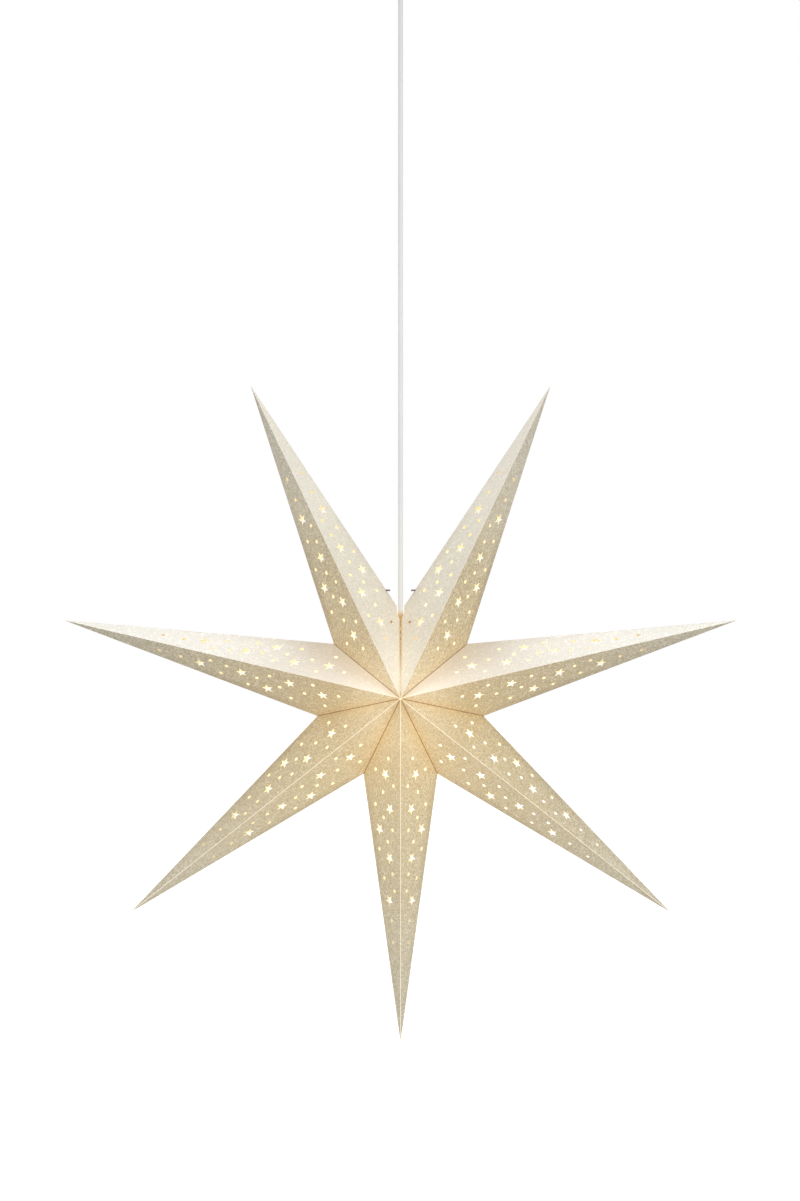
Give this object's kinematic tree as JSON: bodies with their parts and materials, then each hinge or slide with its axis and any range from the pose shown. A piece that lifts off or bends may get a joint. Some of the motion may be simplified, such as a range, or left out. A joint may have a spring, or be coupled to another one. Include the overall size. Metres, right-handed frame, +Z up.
{
  "type": "star pendant light",
  "caption": "Folded-paper star lamp of punched hollow rays round a small bulb, hung on a straight white cord from a ceiling cup.",
  "frame": {"origin": "centre of the ceiling bracket's top face, on the ceiling plane", "axes": "+Z up towards the ceiling, -Y towards the viewer in front of the star, +X to that viewer's right"},
  "size_m": [0.7506, 0.1396, 1.247],
  "materials": {
    "paper": "matt, with fine glitter grain",
    "white_plastic": "satin",
    "cord_sheath": "smooth",
    "live_insulation": "smooth",
    "neutral_insulation": "smooth",
    "zinc_steel": "zinc plated",
    "dark_wire": "dark drawn wire",
    "brass": "bright",
    "nickel": "nickel plated",
    "insulating_core": "moulded",
    "dark_glass": "glossy",
    "clear_glass": "clear",
    "filament": "coated"
  },
  "bodies": {
    "ceiling": {"ceiling_bracket": "zinc_steel", "canopy": "white_plastic", "canopy_screws": "zinc_steel", "cord_grip": "white_plastic", "cord_grip_nut": "white_plastic", "cord_grip_screw": "zinc_steel", "terminal_block": "white_plastic", "terminal_tubes": "brass", "terminal_screws": "brass", "block_screw": "zinc_steel", "cord_tail": "cord_sheath", "canopy_core_live": "live_insulation", "canopy_core_neutral": "neutral_insulation"},
    "cord_bend": {"cord_flex": "cord_sheath"},
    "cord_run": {"cord": "cord_sheath"},
    "holder": {"holder_cord_grip": "white_plastic", "holder_grip_screw": "zinc_steel", "holder_cap": "white_plastic", "holder_core": "insulating_core", "centre_contact": "brass", "shell_contact": "brass", "holder_terminal_screws": "brass", "holder_core_live": "live_insulation", "holder_core_neutral": "neutral_insulation", "holder_skirt": "white_plastic", "hanger_wire": "dark_wire"},
    "bulb": {"bulb_glass": "clear_glass", "bulb_cap": "nickel", "bulb_insulator": "dark_glass", "bulb_contact": "brass", "bulb_stem": "clear_glass", "bulb_leads": "zinc_steel", "bulb_filaments": "filament"},
    "star": {"ray_bottom": "paper", "ray_lower_left": "paper", "ray_left": "paper", "ray_top_left": "paper", "ray_top_right": "paper", "ray_right": "paper", "ray_lower_right": "paper", "seam_clip_front": "dark_wire", "seam_clip_back": "dark_wire"}
  },
  "joints": [
    {"name": "swing_front_back", "type": "hinge", "parent": "ceiling", "child": "cord_bend", "pos_m": [0, 0, -0.062], "axis": [1, 0, 0], "range_deg": [-15, 15]},
    {"name": "swing_side_to_side", "type": "hinge", "parent": "cord_bend", "child": "cord_run", "pos_m": [0, 0, -0.062], "axis": [0, 1, 0], "range_deg": [-15, 15]},
    {"name": "star_turn", "type": "hinge", "parent": "cord_run", "child": "holder", "pos_m": [0, 0, -0.79], "axis": [0, 0, 1], "range_deg": [-180, 180]},
    {"name": "star_rock", "type": "hinge", "parent": "holder", "child": "star", "pos_m": [0, 0, -0.743], "axis": [1, 0, 0], "range_deg": [-5, 5]},
    {"name": "bulb_turn", "type": "hinge", "parent": "holder", "child": "bulb", "pos_m": [0, 0, -0.84], "axis": [0, 0, 1], "range_deg": [-1440, 0]}
  ]
}
